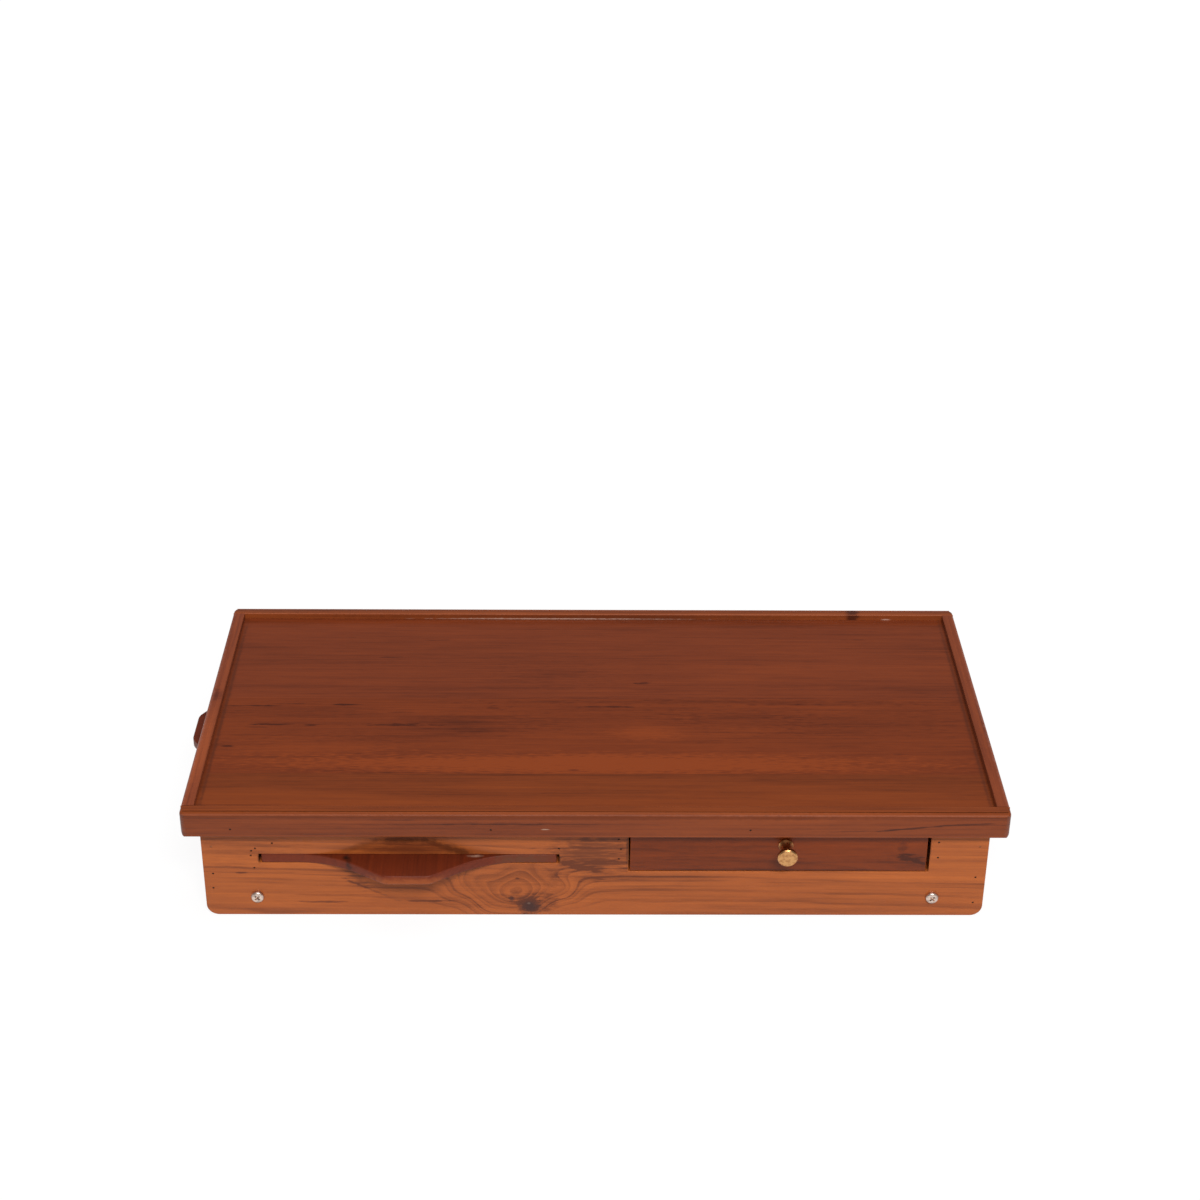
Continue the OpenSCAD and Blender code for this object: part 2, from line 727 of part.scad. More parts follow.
// A screw head with a rounded rim and a cross recess, its seat at z = 0 and its crown towards +Z
module pan_head(d, h) {
    rim = h * rim_share;
    difference() {
        rotate_extrude() intersection() {
            union() {
                square([d / 2 - rim, h]);
                square([d / 2, h - rim]);
                translate([d / 2 - rim, h - rim]) circle(rim);
            }
            square([d / 2, h]);
        }
        translate([0, 0, h]) rotate(45) cross_recess(d, h * cross_depth_share);
    }
}

module knob_screw() {
    length = drawer_front_t + knob_screw_bite;
    color(steel) in_frame() translate([knob_x, drawer_front_y1, knob_z]) rotate([-90, 0, 0]) {
        pan_head(knob_screw_head_d, knob_screw_head_h);
        translate([0, 0, -length]) cylinder(h = length + past / 2, d = knob_screw_d);
    }
}

// ---- Folding legs

// Side view of a folded leg, from its pivot at the origin to its foot towards +X
module leg_side_view() {
    circle(leg_w / 2, $fn = fine);
    translate([0, -leg_w / 2]) eased_rectangle([leg_reach, leg_w], [0, foot_r, foot_r, 0]);
}

// Places a leg frame's parts: pivots on the Y axis, legs towards +X for the left frame, -X for the right one
module leg_frame_at(end) {
    in_frame() translate([end * pivot_x, 0, pivot_z]) mirror([end > 0 ? 1 : 0, 0, 0]) children();
}

// The two screws of each stretcher joint, for the leg on one side, with +Y pointing into the stretcher
module leg_screws_at(side) {
    for (place = [-1, 1]) {
        mirror([0, side > 0 ? 1 : 0, 0])
            translate([stretcher_at + stretcher_w / 2 + place * leg_screw_pitch / 2, leg_face - inner_y, 0])
                children();
    }
}

// A countersunk screw or its hole, head at the origin and point towards +Y, with a clearance all round
module countersunk(gap) {
    rotate([-90, 0, 0]) {
        cylinder(h = leg_screw_l, d = leg_screw_d + 2 * gap);
        cylinder(h = leg_screw_head_h, d1 = leg_screw_head_d + 2 * gap, d2 = leg_screw_d + 2 * gap);
    }
}

// A leg, with end -1 or 1 for the left or right frame and side -1 or 1 for its front or back leg
module leg(end, side) {
    color(orange_wood) leg_frame_at(end) difference() {
        mirror([0, side > 0 ? 1 : 0, 0]) translate([0, leg_face - inner_y + leg_t, 0]) rotate([90, 0, 0])
            linear_extrude(leg_t) leg_side_view();
        bar_y(0, [-inner_y, inner_y], 0, pivot_d + 2 * pivot_gap);
        leg_screws_at(side) countersunk(pilot_gap);
    }
}

module stretcher(end) {
    color(orange_wood) leg_frame_at(end) difference() {
        block([stretcher_at, stretcher_at + stretcher_w], [-leg_gap_y, leg_gap_y],
            [-stretcher_t / 2, stretcher_t / 2]);
        for (side = [-1, 1]) {
            leg_screws_at(side) countersunk(pilot_gap);
        }
    }
}

module leg_screws(end) {
    color(steel) leg_frame_at(end) for (side = [-1, 1]) {
        leg_screws_at(side) difference() {
            countersunk(0);
            rotate([90, 0, 0]) cross_recess(leg_screw_head_d, leg_screw_head_h * cross_depth_share);
        }
    }
}

module pivot_screws() {
    color(steel) in_frame() at_four_pivots() translate([0, -apron_t, 0]) rotate([90, 0, 0]) {
        pan_head(pivot_head_d, pivot_head_h);
        translate([0, 0, -pivot_l]) cylinder(h = pivot_l + past / 2, d = pivot_d);
    }
}

module pivot_washers() {
    color(steel) in_frame() at_four_pivots() for (y = [0, inner_washer]) {
        difference() {
            bar_y(0, [y, y + washer_t], 0, washer_d);
            bar_y(0, [y - past, y + washer_t + past], 0, pivot_d + 2 * pivot_gap);
        }
    }
}

module pivot_nuts() {
    color(steel) in_frame() at_four_pivots() difference() {
        translate([0, pivot_nut + nut_t, 0]) rotate([90, 0, 0])
            cylinder(h = nut_t, d = nut_flats / cos(30), $fn = 6);
        bar_y(0, [pivot_nut - past, pivot_nut + nut_t + past], 0, pivot_d + 2 * pilot_gap);
    }
}

top_board([back_joint_y, boards_back]);  // top_board_back
top_board([front_joint_y, back_joint_y]);  // top_board_middle
top_board([boards_front, front_joint_y]);  // top_board_front
front_edging();
back_edging();
side_edging(-1);  // left_edging
side_edging(1);  // right_edging
front_apron();
back_apron();
left_apron();
right_apron();
corner_blocks();
front_tray_guide(-1);  // front_tray_guide_left
front_tray_guide(1);  // front_tray_guide_right
side_tray_guide(-1);  // side_tray_guide_front
side_tray_guide(1);  // side_tray_guide_back
upright(divider_x);  // divider
upright(opening_x1);  // drawer_guide_right
drawer_runners();
case_brads();
edging_brads();
pivot_screws();
pivot_washers();
pivot_nuts();
front_tray_board();
front_tray_stop();
side_tray_board();
side_tray_stop();
drawer_front();
drawer_side(drawer_x0);  // drawer_side_left
drawer_side(drawer_x1 - drawer_side_t);  // drawer_side_right
drawer_back();
drawer_bottom();
drawer_brads();
drawer_knob();
knob_screw();
leg(-1, -1);  // left_leg_front
leg(-1, 1);  // left_leg_back
stretcher(-1);  // left_stretcher
leg_screws(-1);  // left_leg_screws
leg(1, -1);  // right_leg_front
leg(1, 1);  // right_leg_back
stretcher(1);  // right_stretcher
leg_screws(1);  // right_leg_screws
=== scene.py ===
import math

import bmesh
import bpy
from mathutils import Euler, Matrix, Vector


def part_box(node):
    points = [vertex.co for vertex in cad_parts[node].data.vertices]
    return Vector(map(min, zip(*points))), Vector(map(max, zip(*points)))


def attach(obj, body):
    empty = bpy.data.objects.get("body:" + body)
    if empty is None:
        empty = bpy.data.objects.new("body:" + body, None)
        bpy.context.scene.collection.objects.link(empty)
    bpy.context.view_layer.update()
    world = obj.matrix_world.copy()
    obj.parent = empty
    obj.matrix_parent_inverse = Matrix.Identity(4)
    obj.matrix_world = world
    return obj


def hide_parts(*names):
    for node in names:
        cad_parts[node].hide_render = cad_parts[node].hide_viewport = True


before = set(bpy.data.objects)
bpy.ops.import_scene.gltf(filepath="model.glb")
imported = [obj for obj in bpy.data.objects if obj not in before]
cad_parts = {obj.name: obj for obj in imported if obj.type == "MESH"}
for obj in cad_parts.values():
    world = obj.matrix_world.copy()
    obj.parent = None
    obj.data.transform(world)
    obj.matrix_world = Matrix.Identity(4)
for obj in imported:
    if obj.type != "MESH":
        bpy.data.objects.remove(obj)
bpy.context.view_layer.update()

# ---- Camera
# It stands in front of the table, a metre above what the table lies on, and looks down at it. Its place, lens and
# turns lay the table's edges over those of the photograph.
lens_mm = 66.04
camera_data = bpy.data.cameras.new("camera")
camera_data.sensor_width = 36
camera_data.lens = lens_mm
camera = bpy.data.objects.new("camera", camera_data)
bpy.context.scene.collection.objects.link(camera)
look_down = math.radians(29.365)
turn_right = math.radians(0.708)
roll = math.radians(0.512)
aim = Euler((math.pi / 2 - look_down, 0, -turn_right)).to_matrix() @ Matrix.Rotation(roll, 3, "Z")
camera.location = (-0.008474, -1.469186, 1.025758)
camera.rotation_euler = aim.to_euler()
bpy.context.scene.camera = camera
bpy.context.scene.view_settings.view_transform = "Standard"

# ---- Studio
# A wide white floor, a strip of light high in front, which draws the lip's shadow on the aprons, and a wide lamp
# overhead. The floor throws much of their light back up. The room stays dim, so the top's varnish mirrors little.
floor_half = 30
floor_z = -0.0004
bpy.ops.mesh.primitive_plane_add(size=2 * floor_half, location=(0, 0, floor_z))
floor = bpy.context.object
floor.name = "floor"


def new_material(name):
    """An empty material and its node tree."""
    material = bpy.data.materials.new(name)
    material.use_nodes = True
    material.node_tree.nodes.clear()
    return material, material.node_tree


def feed(tree, sockets, values):
    """Sets each socket to a number or colour, or links it to another node's output."""
    for socket, value in zip(sockets, values):
        if isinstance(value, bpy.types.NodeSocket):
            tree.links.new(value, socket)
        elif value is not None:
            socket.default_value = value


def add_node(tree, kind, inputs=None, **settings):
    """A node with its settings, and values or links on its named inputs."""
    node = tree.nodes.new("ShaderNode" + kind)
    for setting, value in settings.items():
        setattr(node, setting, value)
    for name, value in (inputs or {}).items():
        feed(tree, [node.inputs[name]], [value])
    return node


def calc(tree, operation, *values):
    """A number worked out from numbers or other nodes' outputs."""
    node = add_node(tree, "Math", operation=operation)
    feed(tree, node.inputs, values)
    return node.outputs[0]


def vector_calc(tree, operation, *values):
    """A vector worked out from vectors or other nodes' outputs."""
    node = add_node(tree, "VectorMath", operation=operation)
    feed(tree, node.inputs, values)
    return node.outputs["Value" if operation == "LENGTH" else "Vector"]


def spread(tree, value, low, high, to_low=0.0, to_high=1.0, kind="SMOOTHSTEP"):
    """Turns the span from low to high into the span from to_low to to_high, and holds its ends."""
    inputs = {"Value": value, "From Min": low, "From Max": high, "To Min": to_low, "To Max": to_high}
    return add_node(tree, "MapRange", inputs, interpolation_type=kind).outputs["Result"]


white_light = (1, 1, 1, 1)
bounce_grey = (0.82, 0.82, 0.82, 1)
shadow_grey = (0.13, 0.13, 0.13, 1)
glow_near, glow_far = 0.90, 1.0
near_floor, far_floor = 0.5, 1.6
floor_material, tree = new_material("white_floor")
rays = add_node(tree, "LightPath").outputs
seen = calc(tree, "MAXIMUM", rays["Is Camera Ray"], rays["Is Glossy Ray"])
seen = calc(tree, "MAXIMUM", seen, rays["Is Transmission Ray"])
away = vector_calc(tree, "LENGTH", add_node(tree, "TexCoord").outputs["Object"])
strength = spread(tree, away, near_floor, far_floor, glow_near, glow_far)
lit = add_node(tree, "BsdfDiffuse", {"Color": bounce_grey})
shade = add_node(tree, "BsdfDiffuse", {"Color": shadow_grey})
glow = add_node(tree, "Emission", {"Color": white_light, "Strength": strength})
white = add_node(tree, "AddShader")
feed(tree, white.inputs, [shade.outputs[0], glow.outputs[0]])
mix = add_node(tree, "MixShader")
feed(tree, mix.inputs, [seen, lit.outputs[0], white.outputs[0]])
add_node(tree, "OutputMaterial", {"Surface": mix.outputs[0]})
floor.data.materials.append(floor_material)

room_light = 0.22
world = bpy.data.worlds.new("studio")
bpy.context.scene.world = world
world.use_nodes = True
tree = world.node_tree
tree.nodes.clear()
rays = add_node(tree, "LightPath").outputs
white = add_node(tree, "Background", {"Color": white_light, "Strength": 1.0})
room = add_node(tree, "Background", {"Color": white_light, "Strength": room_light})
mix = add_node(tree, "MixShader")
feed(tree, mix.inputs, [rays["Is Camera Ray"], room.outputs[0], white.outputs[0]])
add_node(tree, "OutputWorld", {"Surface": mix.outputs[0]})


def soft_lamp(name, place, width, height, power):
    """A soft lamp at a place, turned towards the table."""
    lamp_data = bpy.data.lights.new(name, "AREA")
    lamp_data.shape = "RECTANGLE"
    lamp_data.size = width
    lamp_data.size_y = height
    lamp_data.energy = power
    lamp = bpy.data.objects.new(name, lamp_data)
    bpy.context.scene.collection.objects.link(lamp)
    lamp.location = place
    lamp.rotation_euler = (-Vector(place)).to_track_quat("-Z", "Y").to_euler()


soft_lamp("front_lamp", place=(0.5, -3.6, 3.6), width=2.0, height=0.8, power=180)
soft_lamp("top_lamp", place=(0.2, 0.0, 2.2), width=1.8, height=1.8, power=16)

# ---- Top boards
# Three teak boards glued edge to edge, planed flush and varnished. The back one is plain, the middle one has darker
# heartwood over orange wood, and the front one has close parallel rings. Along the lip's foot the boards are painted
# darker: painted shade and reflection of the lip, with some dirt in the corner.
MM = 0.001


def new_group(name, takes, gives):
    """A node group with named inputs, each with its kind and value, and named outputs, each with its kind."""
    tree = bpy.data.node_groups.new(name, "ShaderNodeTree")
    for label, kind, value in takes:
        socket = tree.interface.new_socket(label, in_out="INPUT", socket_type="NodeSocket" + kind)
        socket.default_value = value
    for label, kind in gives:
        tree.interface.new_socket(label, in_out="OUTPUT", socket_type="NodeSocket" + kind)
    return tree, tree.nodes.new("NodeGroupInput").outputs, tree.nodes.new("NodeGroupOutput").inputs


def noise(tree, vector, scale, detail, swirl=0.0):
    """Noise between about -0.5 and 0.5, with its own scale along each axis, per metre."""
    scaled = vector_calc(tree, "MULTIPLY", vector, scale)
    texture = add_node(tree, "TexNoise", {"Vector": scaled, "Scale": 1.0, "Detail": detail, "Distortion": swirl})
    return calc(tree, "MULTIPLY_ADD", texture.outputs["Fac"], 2.0, -1.0)


def mix_colours(tree, share, first, second):
    """A colour between two others."""
    node = add_node(tree, "Mix", data_type="RGBA")
    colours = [socket for socket in node.inputs if socket.type == "RGBA"]
    feed(tree, [node.inputs[0]] + colours, [share, first, second])
    return [socket for socket in node.outputs if socket.type == "RGBA"][0]


def make_grain_group():
    """Teak seen on any face of a board: rings round the log's heart, dark ring lines, fibres, pores and figure."""
    tree, takes, gives = new_group(
        "teak_grain",
        [("Vector", "Vector", (0, 0, 0)), ("Heart", "Vector", (0, 0.05, -0.04)), ("Slope", "Float", 0.0),
         ("Ring", "Float", 0.003), ("Wander", "Float", 0.006), ("Bend", "Float", 0.0),
         ("Ring Depth", "Float", 0.3), ("Line Depth", "Float", 0.2), ("Streak Depth", "Float", 0.3),
         ("Tick Depth", "Float", 0.2), ("Fibre Depth", "Float", 0.3),
         ("Pore Depth", "Float", 0.3), ("Figure Depth", "Float", 0.3), ("Drift Depth", "Float", 0.3),
         ("Level", "Float", 0.5), ("Stain", "Float", 0.0),
         ("Pale", "Color", (0.5, 0.2, 0.1, 1)), ("Middle", "Color", (0.3, 0.1, 0.05, 1)),
         ("Deep", "Color", (0.1, 0.03, 0.01, 1))],
        [("Color", "Color"), ("Tone", "Float"), ("Height", "Float")])
    vector = takes["Vector"]
    parts = add_node(tree, "SeparateXYZ", {"Vector": vector}).outputs
    heart = add_node(tree, "SeparateXYZ", {"Vector": takes["Heart"]}).outputs
    slow = noise(tree, vector, (2.6, 11, 11), 2.0)
    waver = noise(tree, vector, (15, 55, 55), 1.0)
    shift = calc(tree, "MULTIPLY", calc(tree, "MULTIPLY_ADD", waver, 0.2, slow), takes["Wander"])
    rise = calc(tree, "MULTIPLY", parts["X"], takes["Slope"])
    across = calc(tree, "ADD", calc(tree, "SUBTRACT", parts["Y"], heart["Y"]), shift)
    up = calc(tree, "ADD", calc(tree, "SUBTRACT", parts["Z"], heart["Z"]), rise)
    round_heart = add_node(tree, "CombineXYZ", {"X": across, "Y": up}).outputs[0]
    distance = calc(tree, "ADD", vector_calc(tree, "LENGTH", round_heart), takes["Bend"])
    count = calc(tree, "DIVIDE", distance, takes["Ring"])
    ring_noise = add_node(tree, "TexNoise", {"W": count, "Scale": 1.0, "Detail": 2.0, "Roughness": 0.55},
                          noise_dimensions="1D").outputs["Fac"]
    rings = calc(tree, "MULTIPLY_ADD", ring_noise, 2.0, -1.0)
    year = calc(tree, "FRACT", calc(tree, "MULTIPLY_ADD", rings, 0.9, count))
    late_wood = calc(tree, "MULTIPLY", spread(tree, year, 0.0, 0.22), spread(tree, year, 0.15, 0.85, 1.0, 0.0))
    broken = spread(tree, noise(tree, vector, (7, 45, 45), 1.0), -0.3, 0.2, 0.25, 1.0)
    lines = calc(tree, "MULTIPLY", late_wood, broken)
    streak = noise(tree, vector, (7, 210, 210), 4.0)
    tick = noise(tree, vector, (80, 420, 420), 2.0)
    fibre = noise(tree, vector, (12, 640, 640), 3.0)
    pores = spread(tree, noise(tree, vector, (70, 1500, 1500), 1.0), 0.24, 0.5)
    figure = noise(tree, vector, (17, 130, 130), 3.0, 0.4)
    drift = noise(tree, vector, (3.2, 21, 21), 3.0)
    tone = calc(tree, "ADD", takes["Level"], takes["Stain"])
    for part, depth in [(rings, "Ring Depth"), (lines, "Line Depth"), (streak, "Streak Depth"),
                        (tick, "Tick Depth"), (fibre, "Fibre Depth"), (pores, "Pore Depth"),
                        (figure, "Figure Depth"), (drift, "Drift Depth")]:
        tone = calc(tree, "MULTIPLY_ADD", part, takes[depth], tone)
    tone = add_node(tree, "Clamp", {"Value": tone}).outputs[0]
    light_half = mix_colours(tree, spread(tree, tone, 0.0, 0.5, kind="LINEAR"), takes["Pale"], takes["Middle"])
    colour = mix_colours(tree, spread(tree, tone, 0.5, 1.0, kind="LINEAR"), light_half, takes["Deep"])
    height = calc(tree, "MULTIPLY_ADD", pores, -0.8, fibre)
    feed(tree, [gives["Color"], gives["Tone"], gives["Height"]], [colour, tone, height])
    return tree


def make_mark_group():
    """A mark in the wood: 1 inside an ellipsoid with a ragged edge, and 0 outside it."""
    tree, takes, gives = new_group(
        "wood_mark",
        [("Vector", "Vector", (0, 0, 0)), ("Centre", "Vector", (0, 0, 0)), ("Reach", "Vector", (1, 1, 1)),
         ("Ragged", "Float", 0.8), ("Tilt", "Float", 0.0), ("Scale", "Vector", (110, 620, 620))],
        [("Mask", "Float")])
    off_centre = vector_calc(tree, "SUBTRACT", takes["Vector"], takes["Centre"])
    rise = calc(tree, "MULTIPLY", add_node(tree, "SeparateXYZ", {"Vector": off_centre}).outputs["X"], takes["Tilt"])
    off_centre = vector_calc(tree, "SUBTRACT", off_centre, add_node(tree, "CombineXYZ", {"Z": rise}).outputs[0])
    off_centre = vector_calc(tree, "DIVIDE", off_centre, takes["Reach"])
    rough = noise(tree, takes["Vector"], takes["Scale"], 2.0)
    distance = calc(tree, "MULTIPLY_ADD", rough, takes["Ragged"], vector_calc(tree, "LENGTH", off_centre))
    feed(tree, [gives["Mask"]], [spread(tree, distance, 1.0, 0.2)])
    return tree


def make_knot_group():
    """A knot: how far the rings bend round it, and how dark its heart is."""
    tree, takes, gives = new_group(
        "wood_knot",
        [("Vector", "Vector", (0, 0, 0)), ("Centre", "Vector", (0, 0, 0)), ("Reach", "Vector", (0.01, 0.01, 0.01)),
         ("Bulge", "Float", 0.01)],
        [("Bend", "Float"), ("Heart", "Float")])
    off_centre = vector_calc(tree, "SUBTRACT", takes["Vector"], takes["Centre"])
    distance = vector_calc(tree, "LENGTH", vector_calc(tree, "DIVIDE", off_centre, takes["Reach"]))
    loose = calc(tree, "MULTIPLY_ADD", noise(tree, takes["Vector"], (35, 45, 45), 0.0), 0.45, distance)
    fall = calc(tree, "EXPONENT", calc(tree, "MULTIPLY", calc(tree, "MULTIPLY", loose, loose), -0.5))
    ragged = calc(tree, "MULTIPLY_ADD", noise(tree, takes["Vector"], (230, 230, 230), 3.0), 0.8, distance)
    feed(tree, [gives["Bend"], gives["Heart"]],
         [calc(tree, "MULTIPLY", fall, takes["Bulge"]), spread(tree, ragged, 1.1, 0.3)])
    return tree


grain_group = make_grain_group()
mark_group = make_mark_group()
knot_group = make_knot_group()

# How ragged a spot's edge is, how much paler the sanded arrises are painted, partly for wear and partly as a painted
# highlight, how much duller they are worn, and how hands have smeared the varnish.
spot_edge = 0.4
spot_noise = (260, 260, 260)
arris_wear_and_sheen = 0.35
worn_dull = 0.22
smear_noise = (35, 35, 35)
smear_dull = 0.05
varnish_ior = 1.31


def use_group(tree, group, inputs):
    """One use of a node group in a material, with its own values."""
    node = tree.nodes.new("ShaderNodeGroup")
    node.node_tree = group
    for name, value in inputs.items():
        feed(tree, [node.inputs[name]], [value])
    return node.outputs


def metres(*lengths):
    """Lengths in millimetres as metres."""
    return tuple(length * MM for length in lengths)


pale_shares = (1.45, 1.5, 1.25)
deep_shares = (0.38, 0.36, 0.5)


def shades(*middle):
    """Pale, middle and deep wood round a middle colour."""
    pale = [part * share for part, share in zip(middle, pale_shares)]
    deep = [part * share for part, share in zip(middle, deep_shares)]
    return (*pale, 1), (*middle, 1), (*deep, 1)


def teak(name, along, colour, heart, grain, marks=(), knots=(), spots=(), roughness=0.25, end=0.35, offset=0.0):
    """Varnished teak with its grain along X or Y, round a middle colour. Heart is how far the log's heart lies
    across the grain and above the origin. Marks are (centre, reach, ragged edge, depth, tilt where it slopes),
    knots (centre, reach, bulge, depth) and spots (centre, reach, share, colour, tilt where it slopes), all in
    millimetres in the table's own frame. End is how much darker the end grain is, and offset moves the pattern
    along the log, in metres."""
    material, tree = new_material(name)
    place = add_node(tree, "TexCoord").outputs
    turn = -math.pi / 2 if along == "Y" else 0
    mapping = {"Vector": place["Object"], "Rotation": (0, 0, turn), "Location": (offset, 0, 0)}
    vector = add_node(tree, "Mapping", mapping).outputs[0]
    facing = add_node(tree, "SeparateXYZ", {"Vector": place["Normal"]}).outputs[along]
    stain = calc(tree, "MULTIPLY", calc(tree, "POWER", calc(tree, "ABSOLUTE", facing), 4.0), end)
    bend = 0.0
    for centre, reach, ragged, depth, *tilt in marks:
        mark = use_group(tree, mark_group, {"Vector": place["Object"], "Centre": metres(*centre),
                                            "Reach": metres(*reach), "Ragged": ragged, "Tilt": sum(tilt)})
        stain = calc(tree, "MULTIPLY_ADD", mark["Mask"], depth, stain)
    for centre, reach, bulge, depth in knots:
        knot = use_group(tree, knot_group, {"Vector": place["Object"], "Centre": metres(*centre),
                                            "Reach": metres(*reach), "Bulge": bulge * MM})
        bend = calc(tree, "ADD", knot["Bend"], bend)
        stain = calc(tree, "MULTIPLY_ADD", knot["Heart"], depth, stain)
    pale, middle, deep = shades(*colour)
    wood = use_group(tree, grain_group, {
        "Vector": vector, "Heart": metres(0, *heart), "Bend": bend, "Stain": stain,
        "Pale": pale, "Middle": middle, "Deep": deep, **grain})
    colour = wood["Color"]
    arris_mask = add_node(tree, "Attribute", attribute_name="arris").outputs["Fac"]
    # Sanded and slanting faces are painted paler: partly wear, partly painted highlight.
    colour = mix_colours(tree, calc(tree, "MULTIPLY", arris_mask, arris_wear_and_sheen), colour, pale)
    for centre, reach, share, spot_colour, *tilt in spots:
        mark = use_group(tree, mark_group, {"Vector": place["Object"], "Centre": metres(*centre),
                                            "Reach": metres(*reach), "Ragged": spot_edge,
                                            "Scale": spot_noise, "Tilt": sum(tilt)})
        colour = mix_colours(tree, calc(tree, "MULTIPLY", mark["Mask"], share), colour, (*spot_colour, 1))
    smears = noise(tree, place["Object"], smear_noise, 3.0)
    gloss = spread(tree, wood["Tone"], 0, 1, roughness - 0.03, roughness + 0.05)
    gloss = calc(tree, "MULTIPLY_ADD", smears, smear_dull, gloss)
    gloss = calc(tree, "MULTIPLY_ADD", arris_mask, worn_dull, gloss)
    bump = add_node(tree, "Bump", {"Height": wood["Height"], "Strength": 0.10, "Distance": 0.0004})
    surface = add_node(tree, "BsdfPrincipled", {"Base Color": colour, "Roughness": gloss,
                                                "Normal": bump.outputs[0], "IOR": varnish_ior})
    add_node(tree, "OutputMaterial", {"Surface": surface.outputs[0]})
    return material


TINY = 0.1 * MM


def sanded(node, body, material, arris=0.6, steps=3, lip_arris=None, corner=None):
    """A wooden piece from its CAD solid: its arrises are sanded round, in so many steps, and small holes keep their
    sharp rims. Lip_arris is the larger round of a lip's top, and corner that of the upright arrises of its outer
    side, all in millimetres."""
    bpy.ops.object.select_all(action="DESELECT")
    piece = bpy.data.objects.new(node + "_wood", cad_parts[node].data.copy())
    bpy.context.scene.collection.objects.link(piece)
    bpy.context.view_layer.objects.active = piece
    piece.select_set(True)
    bpy.ops.mesh.customdata_custom_splitnormals_clear()
    piece.data.materials.clear()
    piece.data.materials.append(material)
    bpy.ops.object.mode_set(mode="EDIT")
    bpy.ops.mesh.select_all(action="SELECT")
    bpy.ops.mesh.remove_doubles(threshold=0.001 * MM)
    bpy.ops.mesh.dissolve_limited(angle_limit=math.radians(1))
    low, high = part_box(node)
    if corner:
        bpy.ops.mesh.select_all(action="DESELECT")
        mesh = bmesh.from_edit_mesh(piece.data)
        outer_side = max(abs(low[1]), abs(high[1])) - TINY
        for edge in mesh.edges:
            first, second = [vertex.co for vertex in edge.verts]
            upright = abs(first.z - second.z) > 8 * MM and (first - second).xy.length < TINY
            edge.select = upright and abs(first.y) > outer_side
        bmesh.update_edit_mesh(piece.data)
        bpy.ops.mesh.bevel(offset=corner * MM, segments=5, affect="EDGES", clamp_overlap=False)
    rounded_from = high[2] + MM
    if lip_arris:
        bpy.ops.mesh.select_all(action="DESELECT")
        mesh = bmesh.from_edit_mesh(piece.data)
        end_zone = (corner or 0) * MM + TINY
        for edge in mesh.edges:
            on_top = min(vertex.co.z for vertex in edge.verts) > high[2] - TINY
            at_end = (max(vertex.co.x for vertex in edge.verts) < low[0] + end_zone
                      or min(vertex.co.x for vertex in edge.verts) > high[0] - end_zone)
            edge.select = (on_top and (at_end or edge.calc_length() > 20 * MM)
                           and edge.calc_face_angle(0) > math.radians(60))
        bmesh.update_edit_mesh(piece.data)
        bpy.ops.mesh.bevel(offset=lip_arris * MM, segments=4, affect="EDGES", clamp_overlap=False)
        rounded_from = high[2] - lip_arris * MM - TINY
    bpy.ops.mesh.select_all(action="DESELECT")
    mesh = bmesh.from_edit_mesh(piece.data)
    for edge in mesh.edges:
        edge.select = (edge.calc_length() > 1 * MM and edge.calc_face_angle(0) > math.radians(30)
                       and min(vertex.co.z for vertex in edge.verts) < rounded_from)
    bmesh.update_edit_mesh(piece.data)
    bpy.ops.mesh.bevel(offset=arris * MM, segments=steps, affect="EDGES", clamp_overlap=False)
    mesh = bmesh.from_edit_mesh(piece.data)
    arris_layer = mesh.faces.layers.float.new("arris")
    for face in mesh.faces:
        slanting = 0.05 < abs(face.normal.z) < 0.98
        face[arris_layer] = float(face.select or slanting)
    bmesh.update_edit_mesh(piece.data)
    bpy.ops.object.mode_set(mode="OBJECT")
    bpy.ops.object.shade_smooth_by_angle(angle=math.radians(35))
    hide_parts(node)
    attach(piece, body)
    return piece


def paint(node, material):
    """Gives a CAD piece that stays as it is its finish."""
    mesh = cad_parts[node].data
    mesh.materials.clear()
    mesh.materials.append(material)


plain = {"Ring": 0.0035, "Ring Depth": 0.14, "Line Depth": 0.06, "Streak Depth": 0.19, "Tick Depth": 0.10,
         "Fibre Depth": 0.26, "Pore Depth": 0.14, "Figure Depth": 0.18, "Drift Depth": 0.28, "Level": 0.46}
# Painted shade: a dark band along the foot of each lip, for the lip's shadow and its reflection in the varnish, with
# some dirt.
lip_shade_and_dirt = (0.085, 0.018, 0.006)
lip_shade_spots = [((0, 151.5, 95), (320, 3.6, 3), 0.70, lip_shade_and_dirt), ((-288, 0, 95), (5.4, 260, 3), 0.45, lip_shade_and_dirt),
             ((301, 0, 95), (5.4, 260, 3), 0.45, lip_shade_and_dirt), ((-285.8, 0, 95), (1.7, 260, 3), 0.45, lip_shade_and_dirt),
             ((298.8, 0, 95), (1.7, 260, 3), 0.45, lip_shade_and_dirt)]
back_board_marks = [((45, 48, 95), (8, 2.4, 3), 1.2, 0.45), ((-160, 88, 95), (10, 1.6, 3), 1.2, 0.30),
                    ((225, 118, 95), (13, 1.4, 3), 1.0, 0.30), ((-122, 116, 95), (15, 1.4, 3), 1.0, 0.25),
                    ((-20, 60, 95), (60, 20, 3), 2.0, 0.10), ((60, 25, 95), (230, 1.6, 3), 0.8, 0.20)]
